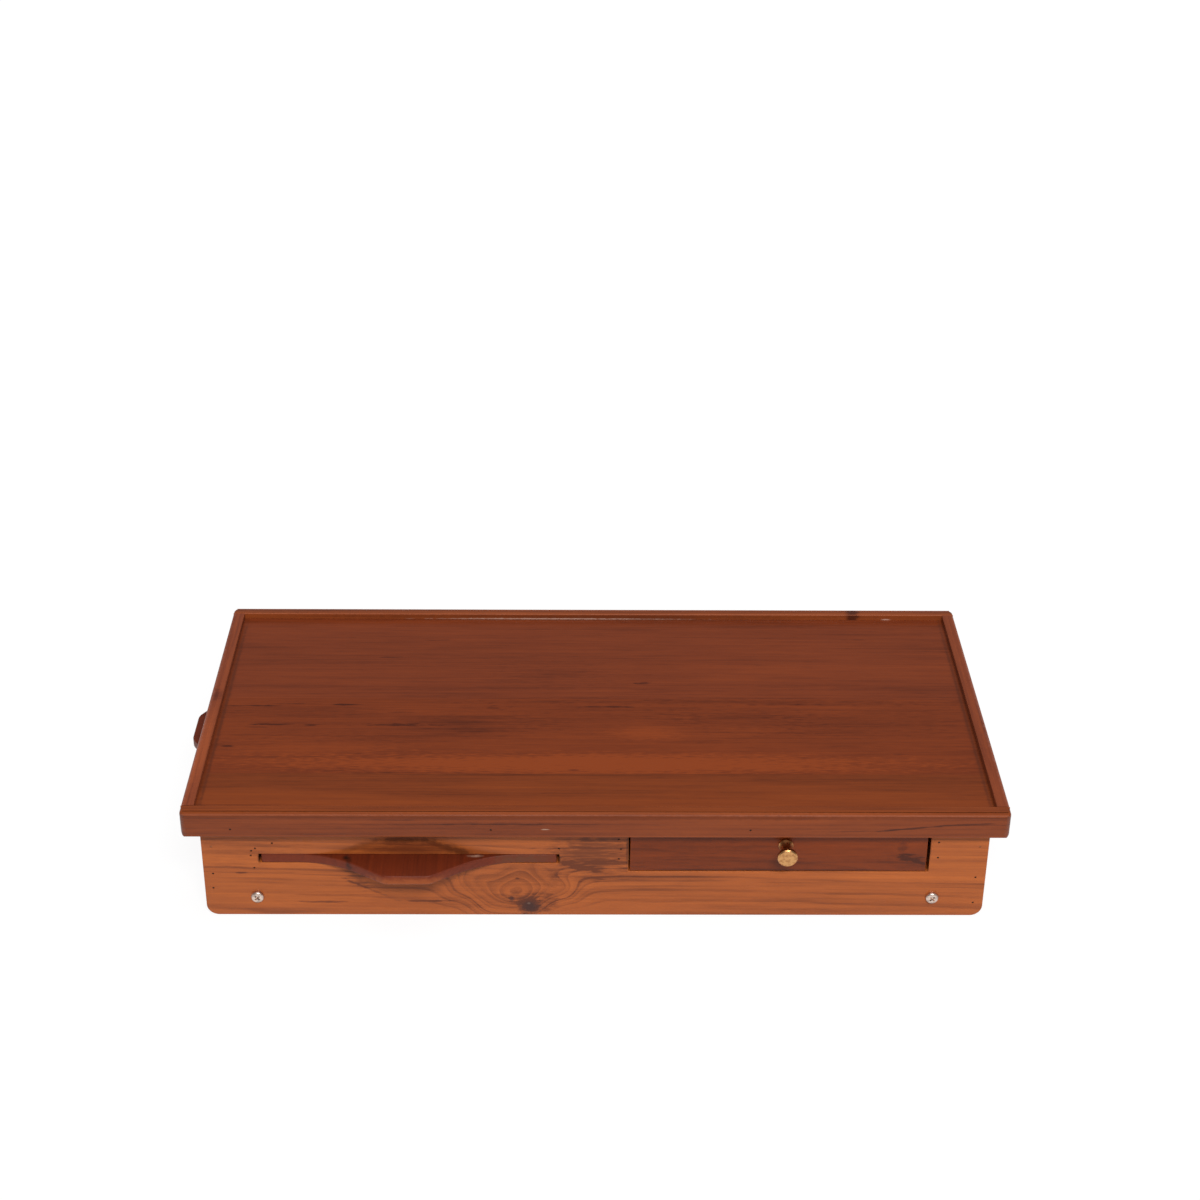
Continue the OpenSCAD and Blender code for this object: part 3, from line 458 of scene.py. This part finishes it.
middle_board_marks = [((-264, 12.8, 95), (32, 1.5, 3), 0.9, 0.55), ((-232, 15.6, 95), (18, 1.3, 3), 0.9, 0.35),
                      ((-192, 14.4, 95), (14, 1.7, 3), 0.5, 0.85), ((-248, -14.7, 95), (23, 1.7, 3), 0.8, 0.8),
                      ((-216, -15.5, 95), (9, 1.4, 3), 0.8, 0.6), ((-258, -19, 95), (10, 1.3, 3), 0.8, 0.35),
                      ((-150, -15, 95), (36, 2.2, 3), 1.4, 0.35), ((-143, -15.5, 95), (15, 1.4, 3), 0.8, 0.4),
                      ((-276.6, -46, 95), (6, 1.8, 3), 0.5, 0.8), ((-147, 3, 95), (17, 1.4, 3), 0.9, 0.3),
                      ((-10, -78, 95), (7, 1.6, 3), 0.4, 0.7), ((100, -72, 95), (13, 1.4, 3), 0.9, 0.3),
                      ((18, 12, 95), (28, 1.7, 3), 0.9, 0.45), ((-72, 10, 95), (12, 4, 3), 1.6, 0.22),
                      ((-80, -12, 95), (62, 26, 3), 1.3, 0.10), ((20, -8, 95), (90, 26, 3), 1.6, 0.08),
                      ((118, -8, 95), (70, 28, 3), 1.4, 0.12), ((225, -10, 95), (90, 26, 3), 1.4, 0.10),
                      ((86, -38, 95), (40, 3.0, 3), 1.4, 0.12), ((0, -70, 95), (340, 19, 3), 0.7, -0.62),
                      ((48, -26, 95), (40, 15, 3), 1.0, -0.32), ((-210, -45, 95), (90, 24, 3), 1.0, -0.22),
                      ((120, 19, 95), (250, 5.0, 3), 1.0, 0.20), ((-240, 0, 95), (60, 26, 3), 1.6, 0.08)]
front_board_marks = [((0, -84.6, 95), (340, 1.7, 3), 0.6, 0.12)]
paint("top_board_back", teak("back_board_teak", "X", (0.184, 0.0345, 0.0098), (60, -90), plain, back_board_marks,
                             spots=lip_shade_spots, offset=0.3))
paint("top_board_middle", teak("middle_board_teak", "X", (0.182, 0.0325, 0.0074), (-20, 45),
                               {**plain, "Slope": 0.03, "Wander": 0.012, "Ring": 0.005, "Tick Depth": 0.12,
                                "Streak Depth": 0.20},
                               middle_board_marks, spots=lip_shade_spots[1:], offset=0.7))
paint("top_board_front", teak("front_board_teak", "X", (0.200, 0.039, 0.0080), (-90, -170),
                              {**plain, "Ring": 0.0030, "Ring Depth": 0.20, "Line Depth": 0.36, "Wander": 0.003,
                               "Figure Depth": 0.08, "Drift Depth": 0.18, "Level": 0.36}, front_board_marks,
                              spots=lip_shade_spots[1:], offset=1.9))

# ---- Edging
# Four teak strips glued and bradded round the boards, standing up as a lip. Their outer arrises are well rounded,
# and the front strip runs the whole length, past the ends of the side strips. Whitish wax is left behind the lip.
edging_colour = (0.192, 0.0385, 0.0088)
strip_lines = {"Ring": 0.0044, "Ring Depth": 0.30, "Line Depth": 0.24, "Streak Depth": 0.28, "Tick Depth": 0.12,
               "Fibre Depth": 0.26, "Pore Depth": 0.14, "Figure Depth": 0.18, "Drift Depth": 0.30, "Level": 0.38}
wax = (0.50, 0.33, 0.24)
# Painted sheen: a paler colour for the side strips' rounded outer arrises.
painted_sheen = (0.42, 0.20, 0.16)
pale_wax = (0.62, 0.38, 0.29)
front_strip_marks = [((238, -145, 88.5), (34, 3, 1.2), 0.6, 0.60, 0.10),
                     ((278, -145, 92), (30, 3, 1.3), 0.6, 0.5, 0.05), ((196, -145, 86), (40, 3, 1.0), 0.9, 0.35, 0.03),
                     ((-137, -145, 95.5), (30, 4, 0.8), 0.6, 0.35), ((150, -148, 97), (60, 5, 1.6), 1.2, 0.30, -0.02),
                     ((-60, -146, 92), (90, 4, 1.5), 1.2, 0.20)]
back_strip_marks = [((226, 154, 98), (8, 12, 9), 0.5, 0.8)]
# Painted shade: a dark band on the front strip's rounded arris, for the shade and dark reflection below the highlight
# there.
painted_arris_shade = (0.150, 0.026, 0.0025)
# Painted highlight: a light line on the front strip's top, just behind its rounded arris.
painted_highlight = (0.330, 0.085, 0.030)
front_strip_spots = [((-31, -145, 87.2), (4, 1.5, 0.7), 0.8, wax), ((296, -147, 99), (9, 2.5, 1.2), 0.45, wax),
                     ((0, -144.6, 97.9), (330, 2.8, 2.8), 0.65, painted_arris_shade),
                     ((10, -144.6, 97.8), (62, 3, 3.2), 0.75, painted_arris_shade),
                     ((142, -144.6, 97.8), (52, 3, 3.0), 0.65, painted_arris_shade),
                     ((6.5, -141.7, 100), (330, 1.9, 2), 0.55, painted_highlight)]
back_strip_spots = [((0, 151.2, 97.6), (330, 2.0, 2.4), 0.40, lip_shade_and_dirt),
                    ((-25, 151, 95.4), (143, 1.5, 1.1), 0.75, pale_wax),
                    ((255, 151, 95.4), (6, 1.5, 1.2), 0.8, pale_wax)]
left_strip_marks = [((-292, 20, 99), (12, 12, 6), 0.7, 0.3), ((-294, -60, 99), (12, 75, 6), 0.4, -0.34)]
# Painted shade and dark reflection along the side lips' inner arrises, and painted sheen along their rounded outer
# arrises.
side_strip_spots = [((-289, 0, 100), (1.2, 300, 1.4), 0.30, lip_shade_and_dirt), ((302, 0, 100), (1.2, 300, 1.4), 0.30, lip_shade_and_dirt),
                    ((-298.8, 0, 99.6), (3.6, 300, 2.8), 0.35, painted_sheen), ((311.8, 0, 99.6), (3.6, 300, 2.8), 0.30, painted_sheen)]
outer_corner = 4.5
strips = {
    "front_edging": ("X", (-160, 40), edging_colour, front_strip_marks, front_strip_spots, 0.3, 2.2),
    "back_edging": ("X", (210, 60), (0.240, 0.053, 0.0145), back_strip_marks, back_strip_spots, 1.3, 1.5),
    "left_edging": ("Y", (330, 60), (0.226, 0.049, 0.0185), left_strip_marks, side_strip_spots, 2.3, 1.5),
    "right_edging": ("Y", (-290, 50), (0.218, 0.047, 0.0170), [], side_strip_spots, 3.3, 1.5),
}
for node, (along, heart, colour, marks, spots, offset, lip_arris) in strips.items():
    finish = teak(node + "_teak", along, colour, heart, strip_lines, marks, spots=spots, offset=offset)
    sanded(node, "case", finish, arris=0.4, steps=2, lip_arris=lip_arris,
           corner=outer_corner if along == "X" else None)

# ---- Aprons
# The case's four sides, of paler, golden teak. The front one has a knot near its lower edge, with its grain in loops
# beside it, the tray's slot and the drawer's opening. The left one has the side tray's slot.
apron_colour = (0.370, 0.093, 0.0220)
flames = {"Ring": 0.0056, "Ring Depth": 0.20, "Line Depth": 0.30, "Streak Depth": 0.22, "Tick Depth": 0.08,
          "Fibre Depth": 0.22, "Pore Depth": 0.12, "Figure Depth": 0.20, "Drift Depth": 0.30, "Wander": 0.0065,
          "Slope": 0.02, "Level": 0.38}
front_apron_knots = [((-43.5, -133, 9), (10, 8, 9.5), 0, 0.75), ((-55, -133, 19), (24, 20, 15), 40, 0)]
front_apron_marks = [((-201, -133, 12), (26, 3, 1.2), 0.9, 0.6), ((-258, -133, 39), (7, 3, 1.2), 0.7, 0.5),
                     ((-122, -133, 13), (26, 3, 1.2), 0.9, 0.6), ((-163, -133, 24), (24, 3, 1.6), 0.9, 0.35, -0.5),
                     ((-52, -133, 34), (2.0, 3, 1.2), 0.4, 0.7), ((-57, -133, 16), (2.4, 3, 2.4), 0.6, 0.6),
                     ((-7, -133, 46), (19, 3, 5.0), 0.9, 0.40, -0.32), ((-29, -133, 13), (10, 3, 11), 1.0, 0.30),
                     ((-46, -133, 12), (20, 3, 12), 1.0, 0.25), ((-25, -133, 32), (5, 3, 15), 0.8, 0.15),
                     # Painted shade above the tray's tab, with the arch spots below.
                     ((-132, -133, 61), (44, 3, 10), 0.8, 0.28),
                     ((5, -133, 58), (44, 3, 30), 0.8, 0.44), ((-260, -133, 62), (60, 3, 22), 0.9, 0.18),
                     # Painted shadow: a dark smear below and left of the tray tab's left leg.
                     ((-171, -133, 33), (11, 3, 10), 1.2, 0.32, -0.5)]
# Near black: painted shade in the apron's slot and drawer opening, and grime on the tray by its tab.
slot_shade_and_grime = (0.012, 0.005, 0.003)
# Painted shade above the tray's tab, where the tab keeps the floor's light off the apron: a dark arch along its top and
# a darker patch inside it.
tab_shadow_edge = (0.075, 0.018, 0.0055)
tab_shadow = (0.15, 0.027, 0.009)
knot_rim = (0.060, 0.024, 0.018)
knot_heart = (0.045, 0.019, 0.017)
knot_speck = (0.060, 0.022, 0.018)
knot_glint = (0.40, 0.27, 0.20)
# The first four spots are the painted shade above the tray's tab.
front_apron_spots = [((-134, -133, 69.2), (32, 3, 4.0), 0.8, tab_shadow_edge),
                     ((-168, -133, 64), (24, 3, 4.0), 0.35, tab_shadow_edge, 0.36),
                     ((-100, -133, 61), (34, 3, 5.4), 0.75, tab_shadow_edge, -0.38),
                     ((-132, -133, 61), (44, 3, 9), 0.40, tab_shadow),
                     ((-43.5, -133, 9.0), (12, 3, 11), 0.45, knot_rim),
                     ((-43.0, -133, 8.0), (8, 3, 7), 0.7, knot_heart),
                     ((-56.3, -133, 15), (3.0, 3, 3.0), 0.8, knot_speck),
                     ((-43.5, -133, 10.8), (1.5, 3, 1.2), 0.25, knot_glint),
                     # Painted shade: the end walls of the tray's slot and of the drawer's opening are painted near
                     # black, for the shade in those gaps.
                     ((-244.5, -127, 52), (2.0, 11, 7), 0.9, slot_shade_and_grime),
                     ((-20.5, -127, 52), (2.0, 11, 7), 0.9, slot_shade_and_grime),
                     ((30.2, -127, 62), (2.0, 11, 27), 0.9, slot_shade_and_grime),
                     ((255.4, -127, 62), (2.0, 11, 27), 0.9, slot_shade_and_grime)]
aprons = {
    "front_apron": ("X", (-190, -10), front_apron_marks, front_apron_knots, front_apron_spots, 0.2),
    "back_apron": ("X", (220, 70), [], [], [], 1.2),
    "left_apron": ("Y", (340, 10), [], [], [], 2.2),
    "right_apron": ("Y", (-330, 60), [], [], [], 3.2),
}
for node, (along, heart, marks, knots, spots, offset) in aprons.items():
    finish = teak(node + "_teak", along, apron_colour, heart, flames, marks, knots, spots, offset=offset)
    sanded(node, "case", finish, arris=0.5)

# ---- Trays
# Each tray is one thin board of dark red teak whose tab, for the fingers, is sawn from the same board, so its edge
# shows end grain. A strip glued across it stops it in its slot when it is pulled out. The front tray's edge is
# grimy by a notch at the left of the tab, and rubbed pale at the tab's nose.
tray_colour = (0.118, 0.0170, 0.0048)
tray_lines = {"Ring": 0.0032, "Ring Depth": 0.22, "Line Depth": 0.12, "Streak Depth": 0.30, "Tick Depth": 0.0,
              "Fibre Depth": 0.40, "Pore Depth": -0.25, "Figure Depth": 0.2, "Drift Depth": 0.3}
dusty_edge = (0.122, 0.043, 0.019)
rubbed_nose = (0.36, 0.085, 0.018)
front_tray_spots = [((-84, -134.5, 55), (9, 2.5, 1.6), 0.7, wax), ((-44, -134, 52), (38, 4, 7), 0.75, dusty_edge),
                    ((-178.8, -136.5, 55), (3.6, 5.5, 4.5), 0.9, slot_shade_and_grime),
                    ((-176.5, -139.5, 52.5), (4.2, 8, 6), 0.85, slot_shade_and_grime),
                    ((-132, -160.5, 49), (62, 13, 7.2), 0.75, rubbed_nose)]
pale_end = -0.36
for side, along, heart, spots in [("front", "Y", (40, 0), front_tray_spots), ("side", "X", (-60, 10), [])]:
    finish = teak(side + "_tray_teak", along, tray_colour, heart, tray_lines, spots=spots, end=pale_end)
    sanded(side + "_tray_board", side + "_tray", finish, arris=1.1, steps=4)
    sanded(side + "_tray_stop", side + "_tray", finish, arris=0.5)

# ---- Drawer
# A dark teak front, rebated and bradded on to two sides, with a back and a thin bottom in grooves. The front has
# a darker figure at its right end.
front_colour = (0.178, 0.0278, 0.0014)
front_lines = {"Ring": 0.0034, "Ring Depth": 0.15, "Line Depth": 0.16, "Streak Depth": 0.24, "Tick Depth": 0.20,
               "Fibre Depth": 0.24, "Pore Depth": 0.14, "Figure Depth": 0.22, "Drift Depth": 0.3, "Slope": 0.12,
               "Level": 0.45}
drawer_front_marks = [((235, -133, 62), (4, 3, 9), 1.6, 0.35), ((237, -133, 54), (11, 3, 3.2), 2.0, 0.50),
                      ((240, -133, 53.5), (5, 3, 3.2), 0.8, 0.35), ((247, -133, 50.0), (9, 3, 2.0), 0.5, 0.75, -0.36),
                      # The first mark below is painted shade: a dark line along the front's lower edge, for the shade
                      # in the gap under it.
                      ((143, -133, 41.3), (130, 4, 1.8), 0.2, 0.8), ((200, -133, 60), (70, 3, 34), 0.5, -0.12),
                      ((60, -133, 60), (70, 3, 34), 0.5, 0.08)]
finish = teak("drawer_front_teak", "X", front_colour, (-200, 90), front_lines, drawer_front_marks)
sanded("drawer_front", "drawer", finish, arris=0.7)
box_colour = (0.38, 0.15, 0.06)
matt = 0.5
for node, along, heart in [("drawer_side_left", "Y", (-10, 90)), ("drawer_side_right", "Y", (-300, 90)),
                           ("drawer_back", "X", (150, 120)), ("drawer_bottom", "X", (-60, 200))]:
    finish = teak(node + "_teak", along, box_colour, heart, front_lines, roughness=matt)
    sanded(node, "drawer", finish, arris=0.5)

# ---- Knob
# A brass knob turned on a lathe, a flat disc on a waisted neck, lacquered and gone a little brown. A screw through
# the drawer's front holds it.
bright_brass = (0.62, 0.32, 0.125, 1)
brown_brass = (0.42, 0.19, 0.07, 1)
brass, tree = new_material("lacquered_brass")
place = add_node(tree, "TexCoord").outputs["Object"]
knob_low, knob_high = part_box("drawer_knob")
knob_middle = (Vector(knob_low) + Vector(knob_high)) / 2
centred = vector_calc(tree, "SUBTRACT", place, tuple(knob_middle))
flat = vector_calc(tree, "MULTIPLY", centred, (1, 0, 1))
turned = add_node(tree, "TexNoise", {"W": vector_calc(tree, "LENGTH", flat), "Scale": 4200, "Detail": 2.0},
                  noise_dimensions="1D").outputs["Fac"]
smudge = noise(tree, place, (420, 420, 420), 2.0)
tarnish = spread(tree, calc(tree, "MULTIPLY_ADD", turned, 0.2, smudge), -0.1, 0.5)
colour = mix_colours(tree, tarnish, bright_brass, brown_brass)
bump = add_node(tree, "Bump", {"Height": turned, "Strength": 0.12, "Distance": 0.0001})
surface = add_node(tree, "BsdfPrincipled", {
    "Base Color": colour, "Metallic": 1.0, "Roughness": spread(tree, smudge, -0.4, 0.4, 0.24, 0.40),
    "Normal": bump.outputs[0], "Coat Weight": 0.15})
add_node(tree, "OutputMaterial", {"Surface": surface.outputs[0]})
paint("drawer_knob", brass)

# ---- Steel
# Zinc-plated screws, nuts and washers, and plain wire brads set below the surface. The plating has dulled in spots,
# the brads have rusted, and those near the case's top corners are filled with putty.
putty = (0.30, 0.11, 0.04, 1)


def dulled_metal(name, bright, dull, metallic, low_roughness, high_roughness, putty_places=()):
    """Metal between a bright and a dull colour in small spots, or putty where a hole has been filled."""
    material, tree = new_material(name)
    place = add_node(tree, "TexCoord").outputs["Object"]
    spots = noise(tree, place, (520, 520, 520), 4.0)
    scratches = noise(tree, place, (900, 4200, 1500), 2.0)
    share = spread(tree, calc(tree, "MULTIPLY_ADD", scratches, 0.3, spots), -0.15, 0.40)
    colour = mix_colours(tree, share, bright, dull)
    metal = metallic
    for centre in putty_places:
        filled = use_group(tree, mark_group, {"Vector": place, "Centre": metres(*centre), "Reach": metres(4, 4, 4),
                                              "Ragged": 0.0})["Mask"]
        filled = spread(tree, filled, 0.0, 0.1)
        colour = mix_colours(tree, filled, colour, putty)
        metal = calc(tree, "MULTIPLY", calc(tree, "SUBTRACT", 1.0, filled), metal)
    bump = add_node(tree, "Bump", {"Height": scratches, "Strength": 0.10, "Distance": 0.0001})
    gloss = spread(tree, spots, -0.4, 0.4, low_roughness, high_roughness)
    surface = add_node(tree, "BsdfPrincipled", {
        "Base Color": colour, "Metallic": metal, "Roughness": gloss, "Normal": bump.outputs[0]})
    add_node(tree, "OutputMaterial", {"Surface": surface.outputs[0]})
    return material


bright_zinc = (0.72, 0.58, 0.50, 1)
dull_zinc = (0.44, 0.34, 0.29, 1)
steel = dulled_metal("zinc_plate", bright_zinc, dull_zinc, metallic=1.0, low_roughness=0.30, high_roughness=0.48)
for node in ["pivot_screws", "pivot_washers", "pivot_nuts", "knob_screw", "left_leg_screws", "right_leg_screws"]:
    paint(node, steel)
dark_wire = (0.018, 0.011, 0.008, 1)
rust = (0.024, 0.008, 0.004, 1)
filled_brads = [(-277.4, -132.5, 62.9), (292.4, -132.5, 64.3)]
for node, putty_places in [("case_brads", filled_brads), ("edging_brads", []), ("drawer_brads", [])]:
    paint(node, dulled_metal(node + "_wire", dark_wire, rust, metallic=0.2, low_roughness=0.6, high_roughness=0.85,
                             putty_places=putty_places))

# ---- Legs
# Two frames of the aprons' teak that fold up under the top. Each is two legs with round pivot ends, joined by a flat
# stretcher with two countersunk screws at each end, and turns on pan-head screws through the aprons.
for side, heart in [("left", (-90, 120)), ("right", (100, -90))]:
    for part, along in [("leg_front", "X"), ("leg_back", "X"), ("stretcher", "Y")]:
        node = side + "_" + part
        finish = teak(node + "_teak", along, apron_colour, heart, flames)
        sanded(node, side + "_leg_frame", finish, arris=0.8)

# ---- Inner wood
# Glue blocks, tray guides, the drawer's divider, guide and runners, of paler teak left without varnish. They are
# glued to the top and the aprons from below, where they don't show.
inner_colour = (0.50, 0.245, 0.115)
bare = 0.6
for node, along in [("corner_blocks", "Y"), ("front_tray_guide_left", "Y"), ("front_tray_guide_right", "Y"),
                    ("side_tray_guide_front", "X"), ("side_tray_guide_back", "X"), ("divider", "Y"),
                    ("drawer_guide_right", "Y"), ("drawer_runners", "Y")]:
    finish = teak(node + "_wood", along, inner_colour, (-90, 100), flames, roughness=bare)
    sanded(node, "case", finish, arris=0.4, steps=2)
